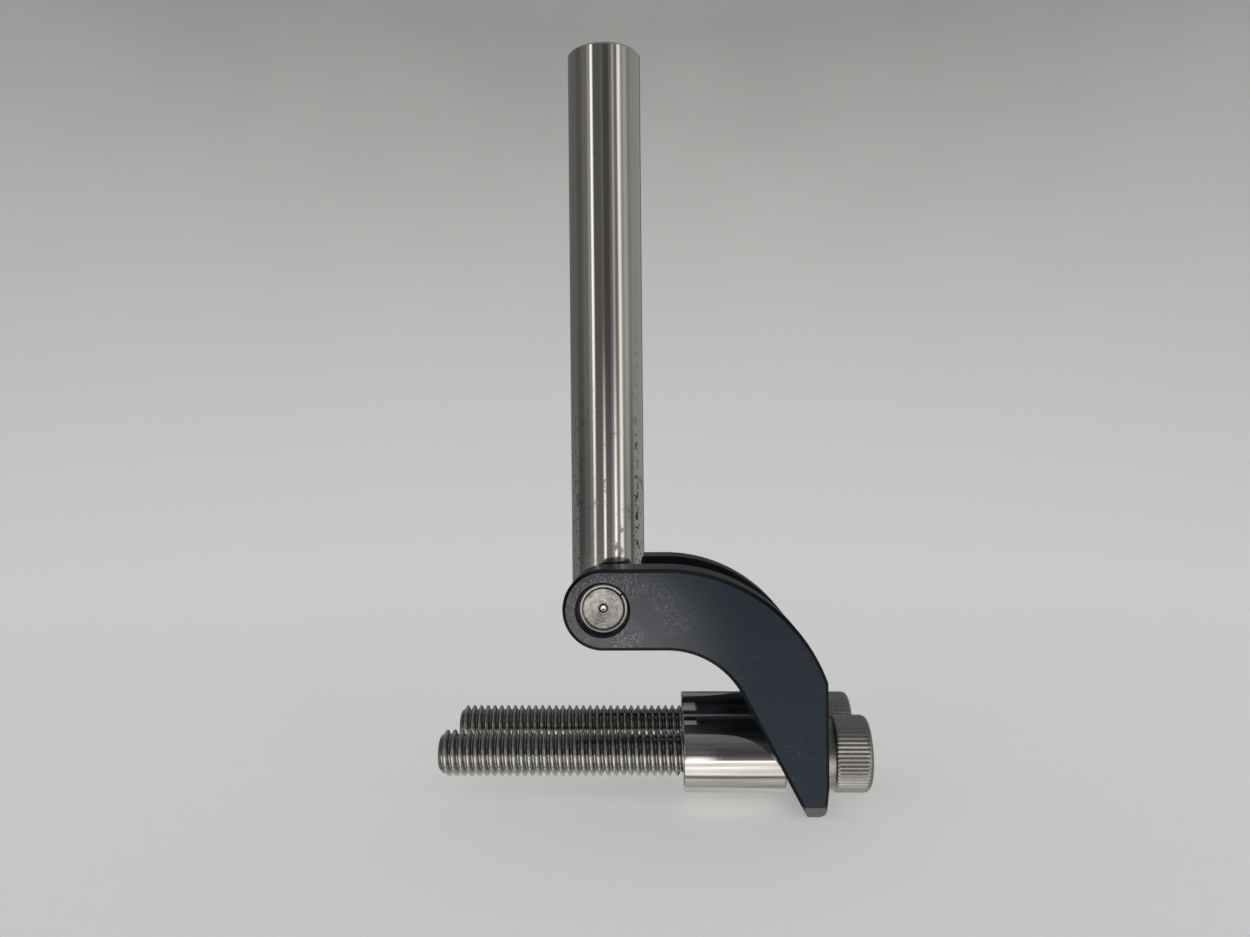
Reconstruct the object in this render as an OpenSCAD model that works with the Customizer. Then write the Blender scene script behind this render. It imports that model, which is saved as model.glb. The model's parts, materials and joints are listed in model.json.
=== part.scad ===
// Hinged rod holder. A one-piece fork bracket hooks over the edge of a panel and is held to it by two
// long cap screws, each through a plain spacer sleeve. A round rod turns on a cross pin between the
// fork's two cheeks, with a thrust washer at each side, and wire snap rings keep the pin in.
//
// +X runs along the screws, from the panel out to the screw heads. +Y runs along the hinge pin and +Z
// along the upright rod. The origin is midway between the two screws, on the spacers' free end faces.

/* [Fork bracket] */
// Width across both cheeks, along the pin
fork_w = 28; // [27:0.1:30]
// Width of the slot between the cheeks
slot_w = 12.4; // [12:0.1:12.6]
// Distance from the pin to the flat back face
reach = 28; // [27:0.5:32]
// Height of the pin above the screws
pivot_h = 19.7; // [19:0.1:22]
// Half the height of the straight arms, which is also the radius of their round ends
arm_r = 5.1; // [4.6:0.1:5.2]
// Length of the straight part along the top of the arms, from the pin
top_flat = 7.8; // [6:0.1:8]
// Length of the straight part under the arms, from the pin
under_flat = 8.05; // [8:0.05:8.2]
// Radius of the curve over the top of the bracket
outer_r = 21.4; // [21:0.1:23]
// Radius of the curve inside the hook
throat_r = 10.5; // [9.5:0.1:10.5]
// Slope of the heel below the hook, measured from upright
heel_angle = 27.5; // [27.5:1:28.5]
// Distance from the pin down to the foot
foot_drop = 26.25; // [25:0.1:27]
// Chamfer around both cheek faces
edge_chamfer = 0.45; // [0.2:0.05:0.6]
// Larger chamfer along the foot
foot_chamfer = 1.7; // [0.6:0.1:1.8]
// Depth of the slot floor below the pin
slot_drop = 5.6; // [5.3:0.1:6]

/* [Rod] */
// Rod diameter
rod_d = 10; // [9:0.1:10]
// Rod length above the pin
rod_above = 75.3; // [60:0.1:90]
// Chamfer on the free end
rod_chamfer = 0.4; // [0.2:0.1:1]

/* [Hinge pin] */
// Pin diameter
pin_d = 6; // [5:0.5:6]
// Pin length
pin_len = 25; // [22:0.5:25]
// Chamfer on each pin end
pin_chamfer = 0.4; // [0.3:0.05:0.5]
// Running clearance around the pin, on the radius
pin_fit = 0.05; // [0.02:0.01:0.1]
// Thickness of the thrust washers at each side of the rod
washer_t = 0.9; // [0.5:0.05:0.9]
// Outside diameter of the thrust washers
washer_d = 9.6; // [8:0.1:9.8]
// Wire diameter of the snap rings
ring_wire = 0.55; // [0.45:0.05:0.6]
// Angle left open between the ends of a snap ring
ring_gap = 14; // [8:1:60]

/* [Screws and spacers] */
// Thread diameter
screw_d = 6; // [5:1:6]
// Screw length under the head
screw_len = 50; // [30:5:80]
// Distance between the two screws
screw_pitch = 14; // [13:0.5:14]
// Head diameter
head_d = 9.8; // [9:0.1:10]
// Head height
head_h = 6; // [5:0.5:6]
// Width across the flats of the hex socket
socket_w = 5; // [4:0.5:5]
// Depth of the hex socket
socket_depth = 3; // [2:0.5:3.5]
// Clearance hole for a screw
clear_d = 6.6; // [6.4:0.1:6.8]
// Outside diameter of a spacer
spacer_d = 9.9; // [9:0.1:10]
// Length of a spacer
spacer_len = 13; // [12:0.5:13.5]

/* [Hidden] */
$fn = 96;

black_anodised = [0.13, 0.14, 0.16];
ground_steel = [0.78, 0.77, 0.74];
screw_steel = [0.55, 0.55, 0.54];
ring_steel = [0.66, 0.65, 0.62];
washer_black = [0.08, 0.08, 0.08];

back_wall = 5;
back_x = spacer_len + back_wall;
pivot_x = back_x - reach;
pin_bore_d = pin_d + 2 * pin_fit;
mouth_chamfer = 0.2;
// A snap ring rests on the pin's chamfer, in a wider mouth of the bore that its sprung ends press on
ring_r = pin_d / 2 - 0.13;
ring_y = pin_len / 2 - pin_chamfer + pin_d / 2 - ring_r + (ring_wire / 2 + 0.02) * sqrt(2);
mouth_r = pin_d / 2 + 0.28;
mouth_floor = ring_y - ring_wire / 2 - 0.08;
washer_gap = (slot_w - rod_d) / 4 - washer_t / 2;
dimple_r = 0.55;
dimple_depth = 0.9;
seat_d = spacer_d + 0.4;
seat_reach = 12;
spacer_chamfer = 0.25;
screw_tip = 0.7;
// The thread inside the spacers and bracket is drawn at its mean diameter, for a coarse thread
thread_depth = 0.11 * screw_d;
head_chamfer = 0.75;
socket_mouth = 0.3;
foot_bevel_x = 0.6;
foot_bevel_z = 0.5;
// The lowest part of the back leans in by foot_lean over foot_lean_h
foot_lean = 0.4;
foot_lean_h = 4;
cut = 1;

// Where the throat's curve runs into the sloping heel, and where the heel meets the foot, seen from
// the pin: x outwards and z up
outer_z = arm_r - outer_r;
throat_z = -arm_r - throat_r;
heel_top = [under_flat + throat_r * cos(heel_angle), throat_z + throat_r * sin(heel_angle)];
heel_foot = [heel_top[0] + (heel_top[1] + foot_drop) * tan(heel_angle), -foot_drop];
// Angle at which the top curve meets the flat back
lean_top = [reach, -foot_drop + foot_lean_h];
foot_edge = [reach - foot_lean, -foot_drop];
lean_step = (lean_top - foot_edge) / norm(lean_top - foot_edge);
back_angle = acos((reach - top_flat) / outer_r);
back_top = outer_z + outer_r * sin(back_angle);

// Puts children drawn around the pin, with x outwards and z up, in their place
module at_pivot() {
    translate([pivot_x, 0, pivot_h]) children();
}

// Turns a flat outline, x outwards and y up, to stand across the pin, centred on its width
module across(width) {
    rotate([90, 0, 0]) linear_extrude(width, center = true) children();
}

// Turns a round profile, radius and height, about the pin's direction
module around_pin() {
    rotate([-90, 0, 0]) rotate_extrude() children();
}

// Outline of a cheek seen along the pin
module cheek_outline() {
    difference() {
        union() {
            circle(r = arm_r);
            translate([0, -arm_r]) square([top_flat, 2 * arm_r]);
            intersection() {
                translate([top_flat, outer_z]) circle(r = outer_r);
                translate([top_flat, outer_z]) square([reach - top_flat, outer_r]);
            }
            translate([top_flat, -foot_drop]) square([reach - top_flat, foot_drop + outer_z]);
        }
        translate([under_flat, throat_z]) circle(r = throat_r);
        polygon([
            [0, -arm_r], [under_flat, -arm_r], [under_flat, throat_z], heel_top, heel_foot,
            [heel_foot[0], -foot_drop - cut], [0, -foot_drop - cut]
        ]);
        polygon([
            foot_edge + [-foot_bevel_x, 0], foot_edge + [-foot_bevel_x, -cut], foot_edge + [2 * cut, -cut],
            [reach + cut, lean_top[1]], lean_top, foot_edge + [0, foot_bevel_z]
        ]);
    }
}

// A square bar on its corner, which leaves a chamfer of size c along the edge it is swept along
module chamfer_section(c) {
    polygon([[-c, 0], [0, -c], [c, 0], [0, c]]);
}

// Chamfers the straight edge between two outline points on both cheek faces
module chamfer_line(start, end, c) {
    run = end - start;
    for (side = [-1, 1]) {
        translate([start[0], side * fork_w / 2, start[1]])
            rotate([0, 90 - atan2(run[1], run[0]), 0])
                linear_extrude(norm(run)) chamfer_section(c);
    }
}

// Chamfers the curved edge of radius r about an outline point, over a sweep from a starting angle
module chamfer_arc(centre, r, start, sweep) {
    for (side = [-1, 1]) {
        translate([centre[0], side * fork_w / 2, centre[1]])
            rotate([90, 0, 0]) rotate([0, 0, start])
                rotate_extrude(angle = sweep) translate([r, 0]) chamfer_section(edge_chamfer);
    }
}

// All the chamfers around the cheek faces, in order around the outline
module face_chamfers() {
    chamfer_arc([0, 0], arm_r, 90, 180);
    chamfer_line([0, arm_r], [top_flat, arm_r], edge_chamfer);
    chamfer_arc([top_flat, outer_z], outer_r, 90, back_angle - 90);
    chamfer_line([reach, back_top + edge_chamfer], lean_top + [0, -edge_chamfer], edge_chamfer);
    chamfer_line(
        lean_top + lean_step * edge_chamfer, foot_edge - lean_step * edge_chamfer, edge_chamfer
    );
    chamfer_line([reach + cut, -foot_drop], [heel_foot[0] - cut, -foot_drop], foot_chamfer);
    chamfer_line(heel_foot, heel_top, edge_chamfer);
    chamfer_arc([under_flat, throat_z], throat_r, 90, heel_angle - 90);
    chamfer_line([under_flat, -arm_r], [0, -arm_r], edge_chamfer);
}

// Hole through both cheeks for the pin, with a wider mouth for each snap ring and a deburred edge
module pin_bore() {
    bore_r = pin_bore_d / 2;
    half = fork_w / 2;
    around_pin() {
        translate([0, -half - cut]) square([bore_r, fork_w + 2 * cut]);
        for (side = [-1, 1]) {
            polygon([
                [0, side * mouth_floor], [mouth_r, side * mouth_floor],
                [mouth_r, side * (half - mouth_chamfer)],
                [mouth_r + mouth_chamfer + cut, side * (half + cut)], [0, side * (half + cut)]
            ]);
        }
    }
}

// Places children on both screws, with +Z turned to run towards the screw heads
module at_screws() {
    for (side = [-1, 1]) at_screw(side) children();
}

// Places children on one screw: side is -1 for the front one and 1 for the rear one
module at_screw(side) {
    translate([0, side * screw_pitch / 2, 0]) rotate([0, 90, 0]) children();
}

// One-piece bracket: two cheeks and the block that joins them, with the screw holes and spacer seats
module fork_bracket() {
    color(black_anodised) difference() {
        at_pivot() across(fork_w) cheek_outline();
        at_pivot() face_chamfers();
        at_pivot() translate([-arm_r - cut, -slot_w / 2, -slot_drop])
            cube([arm_r + reach + 2 * cut, slot_w, slot_drop + arm_r + cut]);
        at_pivot() pin_bore();
        at_screws() {
            cylinder(h = back_x + cut, d = clear_d);
            translate([0, 0, spacer_len - seat_reach]) cylinder(h = seat_reach, d = seat_d);
        }
    }
}

// Round rod: a flat chamfered free end, and a lower end rounded about the pin so that it can fold
module rod() {
    rod_r = rod_d / 2;
    color(ground_steel) at_pivot() difference() {
        intersection() {
            rotate_extrude() polygon([
                [0, -rod_r - cut], [rod_r, -rod_r - cut], [rod_r, rod_above - rod_chamfer],
                [rod_r - rod_chamfer, rod_above], [0, rod_above]
            ]);
            across(rod_d + 2 * cut) {
                circle(r = rod_r);
                translate([-rod_r - cut, 0]) square([rod_d + 2 * cut, rod_above + cut]);
            }
        }
        rotate([90, 0, 0]) cylinder(h = rod_d + 2 * cut, d = pin_bore_d, center = true);
    }
}

// Turned hinge pin with chamfered ends and a centre-drilled dimple in each end face
module pivot_pin() {
    pin_r = pin_d / 2;
    half = pin_len / 2;
    color(ground_steel) at_pivot() around_pin() polygon([
        [0, -half + dimple_depth], [dimple_r, -half], [pin_r - pin_chamfer, -half],
        [pin_r, -half + pin_chamfer], [pin_r, half - pin_chamfer],
        [pin_r - pin_chamfer, half], [dimple_r, half], [0, half - dimple_depth]
    ]);
}

// Thin washer on the pin, centred in the gap between the rod and a cheek
module thrust_washer(side) {
    inner = rod_d / 2 + washer_gap;
    color(washer_black) at_pivot() around_pin()
        translate([pin_bore_d / 2, side > 0 ? inner : -inner - washer_t])
            square([(washer_d - pin_bore_d) / 2, washer_t]);
}

// Round-wire snap ring in the mouth of the bore. The gap lies towards the rod on its outer side.
module snap_ring(side) {
    gap_at = 38;
    color(ring_steel) at_pivot() translate([0, side * ring_y, 0])
        rotate([90, 0, 0]) rotate([0, 0, gap_at + ring_gap / 2])
            rotate_extrude(angle = 360 - ring_gap) translate([ring_r, 0])
                circle(d = ring_wire, $fn = 24);
}

// Plain sleeve around a screw, between the panel and its seat in the bracket
module spacer(side) {
    outer = spacer_d / 2;
    bore = clear_d / 2;
    color(ground_steel) at_screw(side) rotate_extrude() polygon([
        [bore, 0], [outer - spacer_chamfer, 0], [outer, spacer_chamfer],
        [outer, spacer_len - spacer_chamfer], [outer - spacer_chamfer, spacer_len],
        [bore, spacer_len]
    ]);
}

// Hex socket head cap screw. Its thread is drawn plain: at the outside diameter where it stands free,
// and at its mean diameter inside the spacer and bracket.
module cap_screw(side) {
    shank_r = screw_d / 2;
    inner_r = shank_r - thread_depth / 2;
    head_r = head_d / 2;
    tip = back_x - screw_len;
    head_top = back_x + head_h;
    socket_r = socket_w / 2 / cos(30);
    color(screw_steel) at_screw(side) difference() {
        rotate_extrude() polygon([
            [0, tip], [shank_r - screw_tip, tip], [shank_r, tip + screw_tip], [shank_r, 0],
            [inner_r, 0], [inner_r, back_x], [head_r, back_x], [head_r, head_top - head_chamfer],
            [head_r - head_chamfer, head_top], [0, head_top]
        ]);
        translate([0, 0, head_top - socket_depth])
            cylinder(h = socket_depth + cut, r = socket_r, $fn = 6);
        translate([0, 0, head_top - socket_mouth])
            cylinder(h = socket_mouth + 0.01, r1 = socket_r - socket_mouth, r2 = socket_r + 0.02);
    }
}

fork_bracket();
rod();
pivot_pin();
thrust_washer(-1);  // thrust_washer_front
thrust_washer(1);  // thrust_washer_rear
snap_ring(-1);  // snap_ring_front
snap_ring(1);  // snap_ring_rear
spacer(-1);  // spacer_front
spacer(1);  // spacer_rear
cap_screw(-1);  // cap_screw_front
cap_screw(1);  // cap_screw_rear
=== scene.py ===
import json
import math

import bpy
import numpy as np
from mathutils import Matrix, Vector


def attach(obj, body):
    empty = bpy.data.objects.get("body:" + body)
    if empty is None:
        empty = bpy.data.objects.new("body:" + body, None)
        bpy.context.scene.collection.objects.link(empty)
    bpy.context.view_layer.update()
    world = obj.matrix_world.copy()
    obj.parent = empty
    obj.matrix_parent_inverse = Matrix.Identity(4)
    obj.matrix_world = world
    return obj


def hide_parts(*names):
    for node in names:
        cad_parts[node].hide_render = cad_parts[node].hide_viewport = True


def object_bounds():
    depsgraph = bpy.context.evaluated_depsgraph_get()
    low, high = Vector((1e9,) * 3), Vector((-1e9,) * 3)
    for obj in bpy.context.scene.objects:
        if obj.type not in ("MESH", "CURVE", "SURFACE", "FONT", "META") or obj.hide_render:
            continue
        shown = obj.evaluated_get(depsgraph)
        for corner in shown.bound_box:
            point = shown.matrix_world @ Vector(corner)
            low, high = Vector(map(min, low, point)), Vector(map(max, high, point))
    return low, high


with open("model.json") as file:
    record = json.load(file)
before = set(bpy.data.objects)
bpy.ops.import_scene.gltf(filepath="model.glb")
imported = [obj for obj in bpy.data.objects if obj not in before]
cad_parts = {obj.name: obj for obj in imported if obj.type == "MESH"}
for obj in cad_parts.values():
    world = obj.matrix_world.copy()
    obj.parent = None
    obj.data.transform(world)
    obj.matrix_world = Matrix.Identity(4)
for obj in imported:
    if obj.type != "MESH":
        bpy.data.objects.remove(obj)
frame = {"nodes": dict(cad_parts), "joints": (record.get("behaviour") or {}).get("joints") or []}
cad_low, cad_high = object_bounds()

# --- Studio --------------------------------------------------------------------------------------
# A pale floor that curves up into a plain wall all round, far enough out for every camera. Its faint
# glow is painted light, and its colour darkens up the wall as painted shade. The light is a world of
# bright and dark bands round the object and over it, as strip lights and dark cards would give. It
# shines through the bowl, and gives the bare metal its long streaks.
MM = 0.001
FLOOR_Z = cad_low[2] - 0.02 * MM
BOWL_FLAT = 300 * MM
BOWL_CURVE = 420 * MM
BOWL_TOP = 900 * MM
BOWL_SIDES = 128
PAPER_LOW = (0.92, 0.92, 0.915, 1)
PAPER_SHADED_TOP = (0.29, 0.293, 0.29, 1)
PAPER_FIBRE = (0.86, 0.86, 0.85, 1)
PAPER_GLOW = 0.34
SHADE_FROM = -6 * MM
SHADE_TO = 420 * MM
MERGE_STEP = 2e-8


def grid_faces(rows, columns):
    """Quads between neighbouring rows and columns of a grid of points, as four corner numbers each."""
    first = np.arange(rows - 1)[:, None] * columns + np.arange(columns - 1)[None, :]
    return np.stack([first, first + 1, first + columns + 1, first + columns], axis=-1).reshape(-1, 4)


def skin(name, *grids, sharp=32.0):
    """One closed object from grids of points, shape (rows, columns, 3) in metres.

    Each grid is joined into quads. Points are rounded to MERGE_STEP, and those that meet, at a seam or
    a pole, become one. Edges that turn by more than `sharp` degrees stay crisp and all others are smooth.
    """
    points = []
    faces = []
    count = 0
    for grid in grids:
        faces.append(grid_faces(grid.shape[0], grid.shape[1]) + count)
        points.append(grid.reshape(-1, 3))
        count += points[-1].shape[0]
    rounded = np.round(np.concatenate(points) / MERGE_STEP)
    places, where = np.unique(rounded, axis=0, return_inverse=True)
    corners = where.reshape(-1)[np.concatenate(faces)]
    following = np.roll(corners, -1, axis=1)
    different = (corners != following).sum(axis=1)
    opposite = (corners[:, 0] != corners[:, 2]) & (corners[:, 1] != corners[:, 3])
    corners = corners[(different >= 3) & opposite]
    loops = [list(dict.fromkeys(face)) for face in corners.tolist()]
    mesh = bpy.data.meshes.new(name)
    mesh.from_pydata((places * MERGE_STEP).tolist(), [], loops)
    mesh.validate()
    mesh.shade_smooth()
    mesh.set_sharp_from_angle(angle=math.radians(sharp))
    piece = bpy.data.objects.new(name, mesh)
    bpy.context.scene.collection.objects.link(piece)
    return piece


def turned(profile, centre, along, sides=160):
    """Grid of a turned shape: each (radius, distance) of the profile is carried round a straight axis.

    The axis passes through `centre` in direction `along` (0, 1 or 2 for x, y or z). Distances and radii
    are in millimetres, and the angle runs so that a profile that goes up its outside faces outwards.
    """
    profile = np.asarray(profile, dtype=float)
    angle = np.linspace(0, 2 * math.pi, sides + 1)
    angle[-1] = 0
    grid = np.empty((len(profile), sides + 1, 3))
    first, second = (along + 1) % 3, (along + 2) % 3
    grid[:, :, first] = profile[:, :1] * np.cos(angle)
    grid[:, :, second] = profile[:, :1] * np.sin(angle)
    grid[:, :, along] = profile[:, 1:2]
    return (grid + np.asarray(centre)) * MM


def fill(tree, made, inputs):
    """Sets a node's inputs, given by name or number, to numbers, or links sockets to them."""
    for key, value in inputs.items():
        if isinstance(value, bpy.types.NodeSocket):
            tree.links.new(value, made.inputs[key])
        else:
            made.inputs[key].default_value = value


def place(tree, kind, inputs, **settings):
    """Adds a shader node of that kind, with its settings and inputs, and returns its outputs."""
    made = tree.nodes.new(kind)
    for key, value in settings.items():
        setattr(made, key, value)
    fill(tree, made, inputs)
    return made.outputs


def sum_up(tree, operation, *values, clamp=False):
    """Output of one Math node of that operation on numbers or sockets."""
    return place(tree, "ShaderNodeMath", dict(enumerate(values)), operation=operation, use_clamp=clamp)[0]


def times(tree, first, second):
    """Product of two numbers or sockets."""
    return sum_up(tree, "MULTIPLY", first, second)


def add_share(tree, value, share, start):
    """Share of a value added to a start value: value times share plus start."""
    return sum_up(tree, "MULTIPLY_ADD", value, share, start)


def spread(tree, value, low, high, out_low=0.0, out_high=1.0, smooth=True):
    """Maps a value from low..high to out_low..out_high, held at the ends."""
    inputs = {"Value": value, "From Min": low, "From Max": high, "To Min": out_low, "To Max": out_high}
    return place(
        tree, "ShaderNodeMapRange", inputs, interpolation_type="SMOOTHSTEP" if smooth else "LINEAR"
    )["Result"]


def blend_colours(tree, factor, first, second, way="MIX"):
    """Mixes two colours, numbers or sockets, by a factor."""
    inputs = {0: factor, 6: first, 7: second}
    return place(tree, "ShaderNodeMix", inputs, data_type="RGBA", blend_type=way)[2]


def noise(tree, where, scale, detail, **others):
    """Value of a noise texture with that many features to the metre."""
    inputs = {"Vector": where, "Scale": scale, "Detail": detail, **others}
    return place(tree, "ShaderNodeTexNoise", inputs)["Fac"]


def split(tree, where):
    """X, Y and Z of a vector."""
    return place(tree, "ShaderNodeSeparateXYZ", {0: where})


def material(name):
    """A new node material, with its tree, its Principled shader and its Object coordinates."""
    made = bpy.data.materials.new(name)
    made.use_nodes = True
    tree = made.node_tree
    shader = next(n for n in tree.nodes if n.type == "BSDF_PRINCIPLED")
    where = tree.nodes.new("ShaderNodeTexCoord").outputs["Object"]
    return made, tree, shader, where


def make_bowl():
    """Floor and wall in one: flat to BOWL_FLAT, a quarter circle up, then straight to BOWL_TOP."""
    bend = np.linspace(0, math.pi / 2, 24)
    wall = BOWL_FLAT + BOWL_CURVE
    radius = np.concatenate([[0, BOWL_FLAT / 2], BOWL_FLAT + BOWL_CURVE * np.sin(bend), [wall]])
    height = np.concatenate([[0, 0], BOWL_CURVE * (1 - np.cos(bend)), [BOWL_TOP]])
    profile = np.stack([radius, height], axis=1) / MM
    grid = turned(profile, (0, 0, FLOOR_Z / MM), 2, BOWL_SIDES)
    return skin("studio_bowl", grid[:, ::-1], sharp=60)


bowl = make_bowl()
backdrop, tree, shader, where = material("backdrop_paper")
# Painted shade: the backdrop's colour darkens with height, from the floor up the wall. Its glow is painted
# light.
climb = spread(tree, split(tree, where)["Z"], SHADE_FROM, SHADE_TO, smooth=False)
paper_and_shade = blend_colours(tree, sum_up(tree, "POWER", climb, 0.75), PAPER_LOW, PAPER_SHADED_TOP)
paper_and_shade = blend_colours(tree, times(tree, noise(tree, where, 9.0, 3.0), 0.12), paper_and_shade, PAPER_FIBRE)
fill(tree, shader, {
    "Base Color": paper_and_shade, "Emission Color": paper_and_shade, "Emission Strength": PAPER_GLOW,
    "Roughness": 0.9, "Specular IOR Level": 0.1,
})
bowl.data.materials.append(backdrop)
bowl.visible_glossy = False
bowl.visible_shadow = False

# Bands of light round the object: (from, to) in degrees from straight in front towards +X, then the
# brightness above eye level and below it. EYE_LEVEL, UNDER, OVER and ASIDE are where one kind of light
# gives way to the next, as the sine of the angle up from level or towards a side.
BANDS = [
    (-180, -106, 0.15, 0.20),
    (-98, -84, 0.11, 0.08),
    (-72, -60, 0.18, 0.14),
    (-54, -47, 0.36, 0.24),
    (-44, -40.5, 1.75, 1.25),
    (-36, -14, 0.12, 0.17),
    (-10, -7, 0.16, 1.60),
    (-3.5, 12, 0.08, 0.16),
    (17, 21, 0.18, 0.36),
    (25, 28, 0.52, 1.75),
    (32, 39, 0.20, 0.33),
    (43.5, 47.5, 1.25, 1.35),
    (55, 60, 0.36, 0.26),
    (63, 73, 0.48, 0.36),
    (77, 85, 0.28, 0.12),
    (94, 146, 0.34, 0.34),
    (160, 180, 0.10, 0.10),
]
CAMERA_SIDE = 3.2
EYE_LEVEL = (-0.06, 0.16)
UNDER = (-0.085, -0.16)
OVER = (0.36, 0.60)
ASIDE = (0.32, 0.62)
STRIP_WARMTH = (1.0, 0.965, 0.91)
ASIDE_SHADE = (0.5, 0.5, 0.5, 1)
# Bands of light above and below: (from, to) in degrees up from straight in front, over the top and
# down behind, then the brightness.
RISES = [
    (-180, -150, 0.46),
    (-128, -112, 0.60),
    (-102, -96, 0.36),
    (-88, -80, 0.60),
    (-74, -67, 0.80),
    (-61, -57, 0.20),
    (-51, -34, 1.10),
    (-30, -26, 1.65),
    (-22, -16, 1.05),
    (-11, -6, 1.65),
    (-1, 4, 0.42),
    (16, 40, 0.125),
    (50, 60, 0.22),
    (72, 100, 0.18),
    (120, 145, 0.26),
    (160, 180, 0.14),
]


def band_ramp(tree, turn, marks):
    """Colour ramp round a full turn with one stop at each (angle, brightness), dimmer ones less warm."""
    ramp = tree.nodes.new("ShaderNodeValToRGB")
    tree.links.new(turn, ramp.inputs["Fac"])
    stops = ramp.color_ramp.elements
    for number, (angle, value) in enumerate(marks):
        spot = angle / 360 + 0.5
        stop = stops[number] if number < 2 else stops.new(spot)
        stop.position = spot
        tint = [1 - (1 - w) * min(1, value) for w in STRIP_WARMTH]
        stop.color = (value * tint[0], value * tint[1], value * tint[2], 1)
    return ramp.outputs["Color"]


def make_world():
    """Light from all round: bands by compass angle near eye level, and by pitch angle above and below."""
    world = bpy.data.worlds.new("studio_light")
    bpy.context.scene.world = world
    world.use_nodes = True
    tree = world.node_tree
    back = next(n for n in tree.nodes if n.type == "BACKGROUND")
    axes = split(tree, tree.nodes.new("ShaderNodeTexCoord").outputs["Generated"])
    toward = times(tree, axes["Y"], -1.0)
    whole_turn = 0.5 / math.pi
    turn = add_share(tree, sum_up(tree, "ARCTAN2", axes["X"], toward), whole_turn, 0.5)
    level = []
    for column in (3, 2):
        marks = [(band[end] + CAMERA_SIDE, band[column]) for band in BANDS for end in (0, 1)]
        level.append(band_ramp(tree, turn, marks[1:-1]))
    eye_level = blend_colours(tree, spread(tree, axes["Z"], *EYE_LEVEL), level[0], level[1])
    rise = add_share(tree, sum_up(tree, "ARCTAN2", axes["Z"], toward), whole_turn, 0.5)
    marks = [(band[end], band[2]) for band in RISES for end in (0, 1)]
    over_and_under = band_ramp(tree, rise, marks)
    aside = spread(tree, sum_up(tree, "ABSOLUTE", axes["X"]), *ASIDE)
    over_and_under = blend_colours(tree, aside, over_and_under, ASIDE_SHADE, "MULTIPLY")
    away = sum_up(
        tree, "ADD", spread(tree, axes["Z"], *UNDER), spread(tree, axes["Z"], *OVER), clamp=True
    )
    light = blend_colours(tree, away, eye_level, over_and_under)
    fill(tree, back, {"Color": light, "Strength": 1.0})
    world.cycles.sampling_method = "MANUAL"
    world.cycles.sample_map_resolution = 1024


make_world()

CAMERA_AT = (-2.21 * MM, -138.78 * MM, 36.75 * MM)
CAMERA_TURN = (0.0386, 0.0053, 0.0093)
LENS = 28.8


def make_camera():
    """Camera at CAMERA_AT, turned about z, then x, then y by CAMERA_TURN radians from facing +Y."""
    turn_z, turn_x, turn_y = CAMERA_TURN
    aim = Matrix.Rotation(turn_z, 4, "Z") @ Matrix.Rotation(turn_x, 4, "X") @ Matrix.Rotation(turn_y, 4, "Y")
    facing_y = Matrix.Rotation(math.pi / 2, 4, "X")
    lens = bpy.data.cameras.new("studio_camera")
    lens.sensor_fit = "HORIZONTAL"
    lens.sensor_width = 36.0
    lens.lens = LENS
    lens.clip_start = 0.01
    lens.clip_end = 10.0
    camera = bpy.data.objects.new("studio_camera", lens)
    bpy.context.scene.collection.objects.link(camera)
    camera.matrix_world = Matrix.Translation(CAMERA_AT) @ aim @ facing_y
    bpy.context.scene.camera = camera


make_camera()
bpy.context.scene.view_settings.view_transform = "Standard"

# --- Fork bracket --------------------------------------------------------------------------------
# Milled from one block of aluminium, edges chamfered all round, bead blasted and anodised black.
# The satin face is greyer and speckled round the hinge, where it has been handled, with fine hairline
# scratches.
PIVOT = [number / MM for number in frame["joints"][0]["pos_m"]]
GRAINS_PER_METRE = 5200.0


def grain_group():
    """Group for fine grain, on the bracket, rings, washers and screws.

    Height is a noise of GRAINS_PER_METRE over Grain Size. Speckle is its upper part as a mask from 0 to
    1, and Cloud is a mask of broad patches.
    """
    group = bpy.data.node_groups.new("fine_grain", "ShaderNodeTree")
    face = group.interface
    face.new_socket(name="Vector", in_out="INPUT", socket_type="NodeSocketVector")
    size = face.new_socket(name="Grain Size", in_out="INPUT", socket_type="NodeSocketFloat")
    size.default_value = 1.0
    for name in ("Speckle", "Cloud", "Height"):
        face.new_socket(name=name, in_out="OUTPUT", socket_type="NodeSocketFloat")
    given = group.nodes.new("NodeGroupInput").outputs
    out = group.nodes.new("NodeGroupOutput")
    scale = sum_up(group, "DIVIDE", GRAINS_PER_METRE, given["Grain Size"])
    fine = noise(group, given["Vector"], scale, 2.0, Roughness=0.6)
    cloud = noise(group, given["Vector"], 160.0, 4.0)
    fill(group, out, {
        "Speckle": spread(group, fine, 0.42, 0.68), "Cloud": spread(group, cloud, 0.35, 0.65), "Height": fine
    })
    return group


fine_grain = grain_group()


def use(tree, group, **inputs):
    """Places a node group with its inputs set or linked, and returns its outputs."""
    named = {key.replace("_", " "): value for key, value in inputs.items()}
    return place(tree, "ShaderNodeGroup", named, node_tree=group)


def bump(tree, shader, height, strength, distance):
    """Feeds a height into the shader's normal. Distance is in metres."""
    normal = place(
        tree, "ShaderNodeBump", {"Height": height, "Strength": strength, "Distance": distance}
    )["Normal"]
    fill(tree, shader, {"Normal": normal})


def dress(node_name, made):
    """Gives a CAD node its one material."""
    slots = frame["nodes"][node_name].data.materials
    slots.clear()
    slots.append(made)


SCRATCH_LAYS = ((0.5, 55.0), (-0.9, 70.0), (1.9, 45.0))
SCRATCH_HALF = 0.0022


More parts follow.
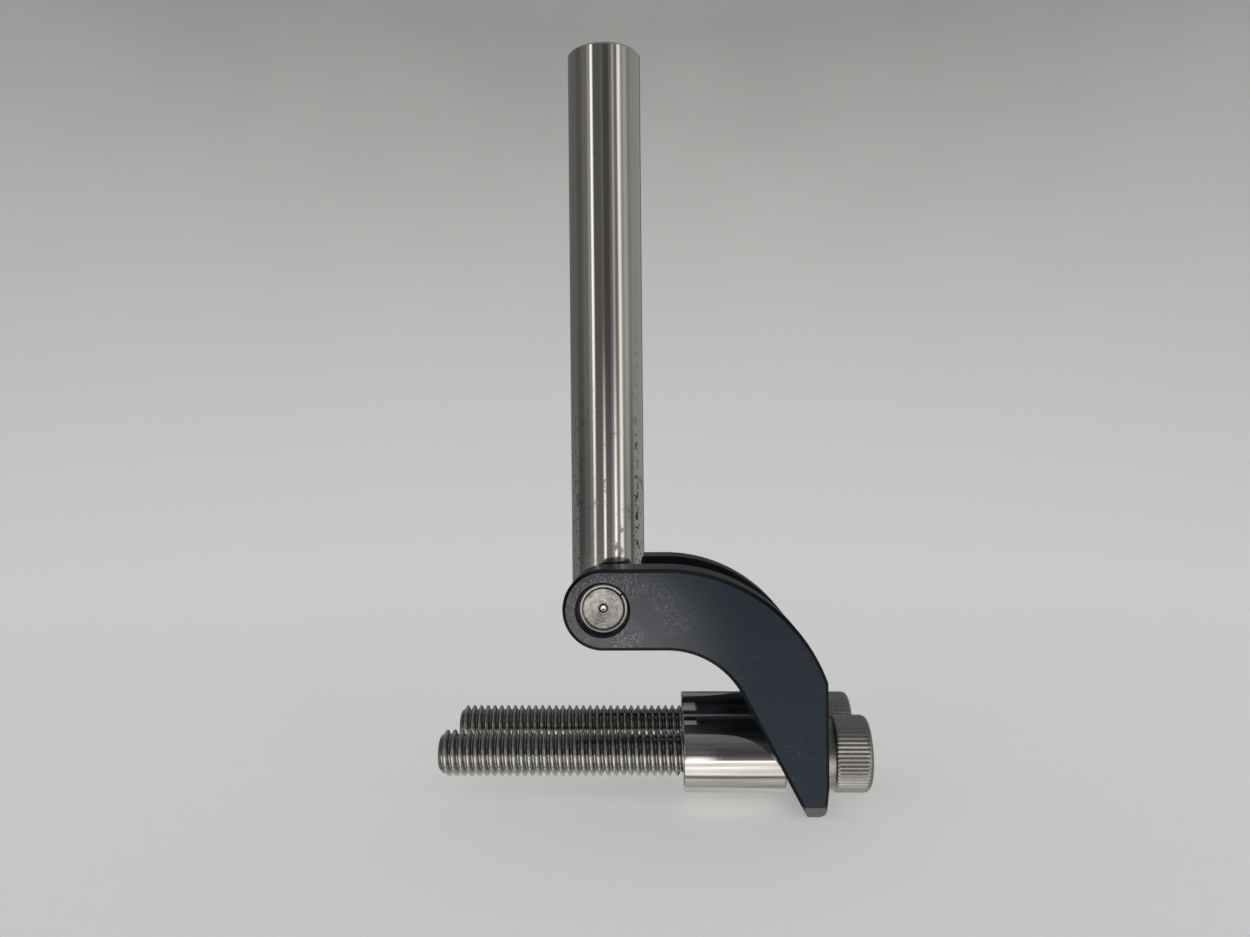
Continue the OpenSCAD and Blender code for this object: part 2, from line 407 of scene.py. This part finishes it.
def hairlines(tree, where):
    """Mask of fine scratches, in patches.

    Each of SCRATCH_LAYS is a noise stretched along one direction. A scratch is where it comes within
    SCRATCH_HALF of its middle value.
    """
    lines = 0.0
    for turn, scale in SCRATCH_LAYS:
        bent = place(
            tree, "ShaderNodeMapping",
            {"Vector": where, "Rotation": (0.0, turn, 0.0), "Scale": (1.0, 1.0, 9.0)},
        )[0]
        off = sum_up(tree, "SUBTRACT", noise(tree, bent, scale, 1.0, Distortion=0.3), 0.5)
        line = spread(tree, sum_up(tree, "ABSOLUTE", off), SCRATCH_HALF, 0.0)
        lines = sum_up(tree, "MAXIMUM", lines, line)
    return times(tree, lines, spread(tree, noise(tree, where, 165.0, 1.0), 0.56, 0.66))


# Handling is centred a little under the pin, on the near cheek, and its greyer tone and its speckle die
# away over these distances. The edges of the arm's tip, below FOOT_TOP, are paler as a painted highlight.
HANDLED_AT = (PIVOT[0] * MM, -14 * MM, (PIVOT[2] - 6) * MM)
HANDLED_FADE = (2 * MM, 19 * MM)
WORN_FADE = (6 * MM, 14 * MM)
FOOT_TOP = -4.6 * MM
FACE_COLOUR = (0.027, 0.035, 0.048, 1)
HANDLED_COLOUR = (0.114, 0.121, 0.137, 1)
SPECKLE_COLOUR = (0.36, 0.36, 0.38, 1)
SCRATCH_COLOUR = (0.34, 0.34, 0.36, 1)
CHAMFER_PAINTED_SHADE = (0.028, 0.029, 0.032, 1)
TOP_PAINTED_SHADE = (0.022, 0.027, 0.036, 1)
FOOT_PAINTED_HIGHLIGHT = (0.17, 0.175, 0.185, 1)

anodised, tree, shader, where = material("black_anodised")
grain = use(tree, fine_grain, Vector=where, Grain_Size=1.2)
from_pin = place(tree, "ShaderNodeVectorMath", {0: where, 1: HANDLED_AT}, operation="DISTANCE")["Value"]
handled = spread(tree, from_pin, *HANDLED_FADE, 1.0, 0.0)
near_pin = spread(tree, from_pin, *WORN_FADE, 1.0, 0.0)
worn = sum_up(tree, "MULTIPLY", grain["Cloud"], near_pin, clamp=True)
facing = split(tree, place(tree, "ShaderNodeTexCoord", {})["Normal"])
sideways = sum_up(tree, "ABSOLUTE", facing["Y"])
height = split(tree, where)["Z"]
sloped = times(tree, spread(tree, sideways, 0.45, 0.6), spread(tree, sideways, 0.95, 0.85))
# Painted shade: the sloped chamfers above FOOT_TOP are darkened, and made a little glossier.
shaded_chamfers = times(tree, sloped, spread(tree, height, FOOT_TOP - 0.6 * MM, FOOT_TOP))
# Painted highlight: the sloped edges below FOOT_TOP are made paler.
foot_highlight_mask = times(tree, sloped, spread(tree, height, FOOT_TOP, FOOT_TOP - 0.4 * MM))
pale = times(tree, grain["Speckle"], spread(tree, worn, 0.0, 1.0, 0.0, 0.9, smooth=False))
base = blend_colours(tree, handled, FACE_COLOUR, HANDLED_COLOUR)
base = blend_colours(tree, times(tree, pale, 0.9), base, SPECKLE_COLOUR)
base = blend_colours(tree, times(tree, hairlines(tree, where), 0.22), base, SCRATCH_COLOUR)
base = blend_colours(tree, shaded_chamfers, base, CHAMFER_PAINTED_SHADE)
# Painted shade: faces that point up are given a darker colour here, and less metal below, by which way they
# face.
base = blend_colours(tree, spread(tree, facing["Z"], 0.5, 0.8, 0.0, 0.75), base, TOP_PAINTED_SHADE)
base = blend_colours(tree, foot_highlight_mask, base, FOOT_PAINTED_HIGHLIGHT)
satin = spread(tree, worn, 0.0, 1.0, 0.36, 0.46, smooth=False)
fill(tree, shader, {
    "Base Color": base, "Roughness": add_share(tree, shaded_chamfers, -0.10, satin),
    "Metallic": spread(tree, facing["Z"], 0.5, 0.8, 0.9, 0.4), "Specular IOR Level": 0.5,
})
bump(tree, shader, grain["Height"], 0.22, 0.03 * MM)
dress("fork_bracket", anodised)

# --- Hinge pin -----------------------------------------------------------------------------------
# Turned steel pin through both cheeks. Each end is faced on the lathe, which leaves fine rings on a
# slightly hollow face, a broken edge and a centre-drilled dimple with a raised burr.
PIN_R = 3.0
PIN_HALF = 12.5
PIN_CHAMFER = 0.48
FACE_R = PIN_R - PIN_CHAMFER
FACE_DISH = 0.45
RING_PITCH = 0.17
RING_DEPTH = 0.018
DIMPLE_R = 0.55
DIMPLE_DEPTH = 0.75
# The dimple's rounded bottom: how far it has risen at each radius.
CUP_RISE = [(0.38, 0.11), (0.30, 0.068), (0.20, 0.03), (0.10, 0.008), (0, 0)]


def faced_end():
    """Points (radius, depth below the end) from the rim to the centre: a rippled cone, then the dimple.

    Depth grows as the radius shrinks, plus a cosine ripple of RING_PITCH, and a rounded lip stands at
    the dimple's edge before its cone goes down.
    """
    radius = np.linspace(FACE_R, DIMPLE_R + 0.12, 92)
    depth = FACE_DISH * (1 - radius / FACE_R)
    depth = depth + RING_DEPTH * (1 - np.cos(2 * math.pi * (FACE_R - radius) / RING_PITCH)) / 2
    lip = [
        (DIMPLE_R + 0.05, FACE_DISH * 0.55), (DIMPLE_R - 0.02, FACE_DISH * 0.5), (DIMPLE_R - 0.09, FACE_DISH)
    ]
    cup = [(r, DIMPLE_DEPTH - rise) for r, rise in CUP_RISE]
    return np.concatenate([np.stack([radius, depth], axis=1), lip, cup])


def pin_profile():
    """Profile of the whole pin from the centre of its rear end over its outside to its front end."""
    end = faced_end()
    front = np.stack([end[:, 0], PIN_HALF - end[:, 1]], axis=1)
    rim = [(PIN_R - 0.03, PIN_HALF - PIN_CHAMFER + 0.03), (PIN_R, PIN_HALF - PIN_CHAMFER - 0.03)]
    half = np.concatenate([[(PIN_R, 0.0)], rim[::-1], front])
    return np.concatenate([(half * (1, -1))[::-1], half[1:]])


pin = skin("hinge_pin", turned(pin_profile(), PIVOT, 1, 144), sharp=28)
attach(pin, "bracket")
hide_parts("pivot_pin")

# Tones across the face, then a painted highlight on the bottom of the dimple and painted shade on its wall.
FACED_DARK = (0.17, 0.162, 0.155, 1)
FACED_BRIGHT = (0.74, 0.72, 0.70, 1)
CUP_PAINTED_HIGHLIGHT = (0.95, 0.94, 0.92, 1)
CUP_WALL_PAINTED_SHADE = (0.05, 0.048, 0.045, 1)
TOOL_STEP = 0.05 * MM
CUP_FADE = (0.44 * MM, 0.38 * MM)
WALL_OUTER = (0.62 * MM, 0.56 * MM)
WALL_INNER = (0.38 * MM, 0.43 * MM)

pin_steel, tree, shader, where = material("turned_pin")
flat = place(
    tree, "ShaderNodeMapping",
    {"Vector": where, "Location": (-PIVOT[0] * MM, 0.0, -PIVOT[2] * MM), "Scale": (1.0, 0.0, 1.0)},
)[0]
off_axis = place(tree, "ShaderNodeVectorMath", {0: flat}, operation="LENGTH")["Value"]
# Uneven rings: a noise that varies with the distance from the axis alone, in steps of TOOL_STEP.
steps_out = sum_up(tree, "DIVIDE", off_axis, TOOL_STEP)
rings = place(
    tree, "ShaderNodeTexNoise", {"W": steps_out, "Scale": 1.0, "Detail": 3.0}, noise_dimensions="1D"
)["Fac"]
tone = sum_up(tree, "ADD", times(tree, rings, 0.6), times(tree, noise(tree, where, 1400.0, 4.0), 0.4))
base = blend_colours(tree, spread(tree, tone, 0.36, 0.62), FACED_DARK, FACED_BRIGHT)
# Painted highlight on the dimple's bottom, and painted shade on its wall.
cup = spread(tree, off_axis, *CUP_FADE)
wall = times(tree, spread(tree, off_axis, *WALL_OUTER), spread(tree, off_axis, *WALL_INNER))
base = blend_colours(tree, cup, base, CUP_PAINTED_HIGHLIGHT)
base = blend_colours(tree, wall, base, CUP_WALL_PAINTED_SHADE)
turned_gloss = spread(tree, rings, 0.3, 0.7, 0.20, 0.36)
fill(tree, shader, {
    "Base Color": base, "Roughness": add_share(tree, cup, -0.14, turned_gloss), "Metallic": 1.0
})
bump(tree, shader, rings, 0.6, 0.02 * MM)
pin.data.materials.append(pin_steel)

# --- Snap rings ----------------------------------------------------------------------------------
# Round spring wire bent to an open ring, sprung into the mouth of the bore over each end of the pin.
# Its cropped ends almost meet, and one stands a little proud of the other. It sits SIT_X and SIT_Z off
# the pin's axis, within the play of the mouth.
WIRE_R = 0.27
RING_R = 2.90
RING_Y = 12.65
GAP_AT = 38.0
GAP = 5.0
SPRING_OUT = 0.02
SIT_X = 0.05
SIT_Z = 0.08
WIRE_DARK = (0.46, 0.45, 0.43, 1)
WIRE_BRIGHT = (0.64, 0.62, 0.59, 1)


def sprung_wire(side):
    """Grid of a wire ring: a small circle carried round a big one that opens by SPRING_OUT at one end.

    The wire's radius closes to nothing over its last two rows at each end, so the ends are closed.
    """
    turn = np.radians(np.linspace(GAP_AT + GAP / 2, GAP_AT + 360 - GAP / 2, 150))
    turn = np.concatenate([turn[:1], turn[:1], turn, turn[-1:], turn[-1:]])
    wire = np.full(turn.shape, WIRE_R)
    wire[[0, -1]] = 0
    wire[[1, -2]] = WIRE_R * 0.86
    share = (turn - turn[0]) / (turn[-1] - turn[0])
    radius = RING_R + SPRING_OUT * np.clip(1 - share * 8, 0, 1) ** 2
    round_wire = np.linspace(0, 2 * math.pi, 21)
    round_wire[-1] = 0
    out = radius[:, None] + wire[:, None] * np.cos(round_wire)
    grid = np.empty(out.shape + (3,))
    grid[..., 0] = PIVOT[0] + SIT_X + out * np.cos(turn)[:, None]
    grid[..., 2] = PIVOT[2] + SIT_Z + out * np.sin(turn)[:, None]
    grid[..., 1] = side * RING_Y + wire[:, None] * np.sin(round_wire)
    return grid * MM


wire_steel, tree, shader, where = material("spring_wire")
drawn = use(tree, fine_grain, Vector=where, Grain_Size=1.4)
base = blend_colours(tree, drawn["Speckle"], WIRE_DARK, WIRE_BRIGHT)
gloss = spread(tree, drawn["Cloud"], 0.0, 1.0, 0.24, 0.36)
fill(tree, shader, {"Base Color": base, "Roughness": gloss, "Metallic": 1.0})
bump(tree, shader, drawn["Height"], 0.3, 0.01 * MM)
for side, end_name in ((-1, "front"), (1, "rear")):
    wire_ring = skin("snap_wire_" + end_name, sprung_wire(side), sharp=50)
    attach(wire_ring, "bracket")
    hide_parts("snap_ring_" + end_name)
    wire_ring.data.materials.append(wire_steel)

# --- Thrust washers ------------------------------------------------------------------------------
# Thin moulded washers on the pin, one each side of the rod, in matt black plastic.
ACETAL_DARK = (0.012, 0.012, 0.013, 1)
ACETAL_PALE = (0.030, 0.030, 0.031, 1)

acetal, tree, shader, where = material("black_acetal")
skin_grain = use(tree, fine_grain, Vector=where, Grain_Size=1.6)
base = blend_colours(tree, skin_grain["Speckle"], ACETAL_DARK, ACETAL_PALE)
gloss = spread(tree, skin_grain["Cloud"], 0.0, 1.0, 0.45, 0.6)
fill(tree, shader, {"Base Color": base, "Roughness": gloss})
bump(tree, shader, skin_grain["Height"], 0.3, 0.01 * MM)
dress("thrust_washer_front", acetal)
dress("thrust_washer_rear", acetal)

# --- Rod -----------------------------------------------------------------------------------------
# Ground stainless bar with a small chamfer at the top, polished so that it mirrors its surroundings
# in long streaks, and lightly stained and pitted near the hinge.
ROD_DULL = (0.56, 0.545, 0.52, 1)
ROD_BRIGHT = (0.66, 0.645, 0.615, 1)
STAIN_COLOUR = (0.085, 0.072, 0.063, 1)
# Stains and pits die out between these heights. The row of pits is PIT_LINE from the axis.
STAINED_TO = (28 * MM, 62 * MM)
PIT_LINE = 4.1
PIT_ROW = (0.28 * MM, 0.16 * MM)
PITS_PER_METRE = 1500.0
STREAKS_PER_METRE = 1500.0


def stretched(tree, where, scale):
    """Coordinates scaled along each axis, so that a noise on them is drawn out where the scale is small."""
    return place(tree, "ShaderNodeMapping", {"Vector": where, "Scale": scale})[0]


ground, tree, shader, where = material("ground_rod")
along = stretched(tree, where, (1.0, 1.0, 0.02))
streak = noise(tree, along, STREAKS_PER_METRE, 3.0)
lay = noise(tree, stretched(tree, where, (0.05, 0.05, 1.0)), 5000.0, 2.0)
parts = split(tree, where)
low_down = spread(tree, parts["Z"], *STAINED_TO, 1.0, 0.0)
blotch = noise(tree, where, 420.0, 6.0, Roughness=0.65)
stain = times(tree, spread(tree, blotch, 0.55, 0.68), low_down)
# Pits lie in drawn-out patches, and in one broken row up the side.
pits = place(tree, "ShaderNodeTexVoronoi", {"Vector": where, "Scale": PITS_PER_METRE})["Distance"]
patch = spread(tree, noise(tree, along, 330.0, 1.0), 0.55, 0.60)
pitted = times(tree, times(tree, spread(tree, pits, 0.32, 0.14), patch), low_down)
off_line = sum_up(tree, "ABSOLUTE", sum_up(tree, "SUBTRACT", parts["X"], (PIVOT[0] + PIT_LINE) * MM))
row = times(tree, spread(tree, off_line, *PIT_ROW), low_down)
row = times(tree, row, spread(tree, noise(tree, where, 1300.0, 2.0), 0.52, 0.58))
pitted = sum_up(tree, "MAXIMUM", pitted, row)
marks = sum_up(tree, "MAXIMUM", times(tree, stain, 0.6), pitted)
tint = blend_colours(tree, streak, ROD_DULL, ROD_BRIGHT)
tint = blend_colours(tree, marks, tint, STAIN_COLOUR)
gloss = spread(tree, lay, 0.3, 0.7, 0.05, 0.09)
fill(tree, shader, {"Base Color": tint, "Roughness": add_share(tree, marks, 0.3, gloss), "Metallic": 1.0})
relief = add_share(tree, noise(tree, where, 1900.0, 3.0), 0.5, lay)
bump(tree, shader, add_share(tree, pitted, -1.2, relief), 0.16, 0.004 * MM)
dress("rod", ground)

# --- Spacer sleeves ------------------------------------------------------------------------------
# Stainless sleeves turned from bar, bored through for the screws, with faced ends, broken edges and a
# polished outside.
SLEEVE_R = 4.95
SLEEVE_BORE = 3.3
SLEEVE_LEN = 13.0
SLEEVE_EDGE = 0.22
BORE_EDGE = 0.2
FACING_PITCH = 0.16
FACING_DEPTH = 0.012
SLEEVE_DULL = (0.44, 0.43, 0.415, 1)
SLEEVE_BRIGHT = (0.80, 0.785, 0.76, 1)
SCREW_Y = 7.0


def sleeve_profile():
    """Closed profile of a sleeve, up its outside, over the rounded far edge, through its bore and back.

    Both faces carry a shallow ripple from facing.
    """
    bend = np.linspace(0, math.pi / 2, 6)
    near = SLEEVE_EDGE * np.stack([np.sin(bend) - 1, 1 - np.cos(bend)], axis=1) + (SLEEVE_R, 0)
    far = np.stack([near[::-1, 0], SLEEVE_LEN - near[::-1, 1]], axis=1)
    face = np.linspace(SLEEVE_BORE + BORE_EDGE, SLEEVE_R - SLEEVE_EDGE - 0.02, 40)
    ripple = FACING_DEPTH * (1 - np.cos(2 * math.pi * (face - face[-1]) / FACING_PITCH)) / 2
    near_face = np.stack([face, ripple], axis=1)
    far_face = np.stack([face[::-1], SLEEVE_LEN - ripple[::-1]], axis=1)
    bore = [(SLEEVE_BORE, SLEEVE_LEN - BORE_EDGE), (SLEEVE_BORE, BORE_EDGE)]
    return np.concatenate([near_face, near, far, far_face, bore, near_face[:1]])


polished, tree, shader, where = material("polished_sleeve")
streak = noise(tree, stretched(tree, where, (0.03, 1.0, 1.0)), 1300.0, 3.0)
lay = noise(tree, stretched(tree, where, (1.0, 0.05, 0.05)), 4200.0, 2.0)
tint = blend_colours(tree, spread(tree, streak, 0.3, 0.7), SLEEVE_DULL, SLEEVE_BRIGHT)
gloss = spread(tree, lay, 0.3, 0.7, 0.07, 0.11)
fill(tree, shader, {"Base Color": tint, "Roughness": gloss, "Metallic": 1.0})
bump(tree, shader, add_share(tree, streak, 2.8, lay), 0.2, 0.006 * MM)
for side, end_name in ((-1, "front"), (1, "rear")):
    sleeve_grid = turned(sleeve_profile(), (0, side * SCREW_Y, 0), 0, 144)
    sleeve = skin("sleeve_" + end_name, sleeve_grid, sharp=40)
    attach(sleeve, "bracket")
    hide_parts("spacer_" + end_name)
    sleeve.data.materials.append(polished)

# --- Cap screws ----------------------------------------------------------------------------------
# Stainless socket head cap screws with a rolled coarse thread. The head has a plain collar, a band of
# straight knurling with rounded ends and a hexagon socket.
THREAD_R = 2.97
THREAD_DEPTH = 0.61
THREAD_PITCH = 1.0
FLANK_END = 0.43
FLANK_WIDTH = 0.32
THREAD_SIDES = 64
PITCH_STEPS = 16
BACK_X = 18.0
TIP_X = BACK_X - 50.0
TIP_R = 2.2
TIP_SLOPE = 1.05
TIP_HOLLOW = 0.12
RUN_IN = 0.4
HEAD_R = 4.9
HEAD_LEN = 6.0
COLLAR_R = 4.6
COLLAR_LEN = 1.25
KNURLS = 56
KNURL_DEPTH = 0.13
KNURL_END = 5.15
HEAD_CORNER = 0.85
HEAD_SIDES = 448
SOCKET_RIM = 3.05
SOCKET_FLAT = 2.5
SOCKET_DEPTH = 3.0
SCREW_DULL = (0.54, 0.535, 0.52, 1)
SCREW_BRIGHT = (0.66, 0.655, 0.635, 1)
ROOT_PAINTED_SHADE = (0.10, 0.098, 0.095, 1)
ROOT_FADE = (2.78 * MM, 2.44 * MM)
HEAD_PAINTED_SHADE = (0.70, 0.69, 0.69, 1)


def thread_grid(side):
    """Grid of a threaded shank. Each row is one turn of a helix, and rows step across the thread's form.

    A row gains one pitch in its turn, so it ends where the row PITCH_STEPS further on starts. The radius
    depends on the row alone: a narrow flat crest, straight flanks FLANK_WIDTH of a pitch wide that end
    FLANK_END from the crest's middle, and a narrow root. Places past the shank's ends are held at the
    ends. The radius there is limited by a cone at the tip, and runs out to TIP_R under the head.
    """
    last = BACK_X + RUN_IN
    rows = int((last - TIP_X) / THREAD_PITCH * PITCH_STEPS) + 2 * PITCH_STEPS
    step = np.arange(-PITCH_STEPS, rows - PITCH_STEPS + 1)
    phase = (step % PITCH_STEPS) / PITCH_STEPS
    form = np.clip((FLANK_END - np.abs(phase - 0.5)) / FLANK_WIDTH, 0, 1)
    crest = THREAD_R - THREAD_DEPTH * (1 - form)
    angle = np.linspace(0, 2 * math.pi, THREAD_SIDES + 1)
    place_x = TIP_X + THREAD_PITCH * (step[:, None] / PITCH_STEPS + angle / (2 * math.pi))
    held = np.clip(place_x, TIP_X, last)
    cone = TIP_R + (held - TIP_X) * TIP_SLOPE
    radius = np.minimum(np.broadcast_to(crest[:, None], held.shape), cone)
    run_out = np.clip((last - held) / THREAD_PITCH, 0, 1)
    radius = TIP_R + (radius - TIP_R) * run_out
    radius = np.where(held >= last, TIP_R, radius)
    angle[-1] = 0
    grid = np.stack([held, side * SCREW_Y + radius * np.cos(angle), radius * np.sin(angle)], axis=-1)
    first = np.broadcast_to(np.array([TIP_X + TIP_HOLLOW, side * SCREW_Y, 0.0]), grid[:1].shape)
    end = np.broadcast_to(np.array([last, side * SCREW_Y, 0.0]), grid[:1].shape)
    return np.concatenate([first, grid, end]) * MM


def head_grid(side):
    """Grid of a screw head: a turned profile whose radius is cut by knurling and by the hexagon socket.

    Between the collar and the rounded end the radius falls by KNURL_DEPTH in the valleys, which follow
    a power of a cosine of KNURLS cycles. Inside the socket the radius is the distance to the hexagon's
    flat, SOCKET_FLAT over the cosine of the angle from its middle.
    """
    bend = np.linspace(0, math.pi / 2, 7)
    collar = [(0, 0.02), (COLLAR_R - 0.15, 0.02), (COLLAR_R, 0.17), (COLLAR_R, COLLAR_LEN - 0.1)]
    shoulder = [(COLLAR_R + 0.08, 0.02), (HEAD_R - 0.12, 0.12), (HEAD_R, 0.32)]
    shoulder = [(r, COLLAR_LEN + x) for r, x in shoulder]
    knurled = [(HEAD_R, x) for x in np.linspace(COLLAR_LEN + 0.6, KNURL_END - 0.1, 6)]
    rounded = [
        (HEAD_R - HEAD_CORNER * 0.95 * (1 - math.cos(b)), KNURL_END + HEAD_CORNER * math.sin(b)) for b in bend
    ]
    top = [(SOCKET_RIM + 0.15, HEAD_LEN), (SOCKET_RIM, HEAD_LEN)]
    profile = np.array(collar + shoulder + knurled + rounded + top)
    angle = np.linspace(0, 2 * math.pi, HEAD_SIDES + 1)
    ridge = np.cos(angle * KNURLS / 2) ** 2
    valley = KNURL_DEPTH * (1 - ridge ** 0.75)
    along = profile[:, 1]
    fade_in = np.clip((along - COLLAR_LEN - 0.05) / 0.25, 0, 1)
    fade_out = np.clip((KNURL_END + 0.45 - along) / 0.4, 0, 1)
    radius = profile[:, :1] - valley * (fade_in * fade_out)[:, None]
    sixth = math.pi / 3
    hexagon = SOCKET_FLAT / np.cos((angle % sixth) - sixth / 2)
    inner = [
        (np.maximum(hexagon, 2.86), 0.02), (hexagon, 0.32), (hexagon, 0.34), (hexagon, SOCKET_DEPTH),
        (hexagon * 0.96, SOCKET_DEPTH + 0.05), (hexagon * 0.5, SOCKET_DEPTH + 0.5),
        (hexagon * 0, SOCKET_DEPTH + 0.9)
    ]
    radius = np.concatenate([radius, [ring for ring, _ in inner]])
    along = np.concatenate([along, [HEAD_LEN - depth for _, depth in inner]]) + BACK_X
    angle[-1] = 0
    grid = np.empty(radius.shape + (3,))
    grid[..., 0] = along[:, None]
    grid[..., 1] = side * SCREW_Y + radius * np.cos(angle)
    grid[..., 2] = radius * np.sin(angle)
    grid[:, -1] = grid[:, 0]
    return grid * MM


screw_steel, tree, shader, where = material("stainless_screw")
parts = split(tree, where)
off_y = sum_up(tree, "SUBTRACT", sum_up(tree, "ABSOLUTE", parts["Y"]), SCREW_Y * MM)
square = sum_up(tree, "ADD", times(tree, off_y, off_y), times(tree, parts["Z"], parts["Z"]))
root = spread(tree, sum_up(tree, "SQRT", square), *ROOT_FADE)
head = spread(tree, parts["X"], BACK_X * MM, (BACK_X + 0.2) * MM)
dull = use(tree, fine_grain, Vector=where, Grain_Size=1.5)
base = blend_colours(tree, dull["Speckle"], SCREW_DULL, SCREW_BRIGHT)
# Painted shade: the colour darkens into the thread's roots.
base = blend_colours(tree, times(tree, root, 0.45), base, ROOT_PAINTED_SHADE)
# Painted shade: the whole head's colour is darkened.
base = blend_colours(tree, head, base, HEAD_PAINTED_SHADE, "MULTIPLY")
satin = spread(tree, dull["Cloud"], 0.0, 1.0, 0.14, 0.20)
fill(tree, shader, {"Base Color": base, "Roughness": add_share(tree, head, 0.16, satin), "Metallic": 1.0})
bump(tree, shader, dull["Height"], 0.16, 0.008 * MM)
for side, end_name in ((-1, "front"), (1, "rear")):
    screw = skin("cap_screw_piece_" + end_name, thread_grid(side), head_grid(side), sharp=38)
    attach(screw, "bracket")
    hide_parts("cap_screw_" + end_name)
    screw.data.materials.append(screw_steel)
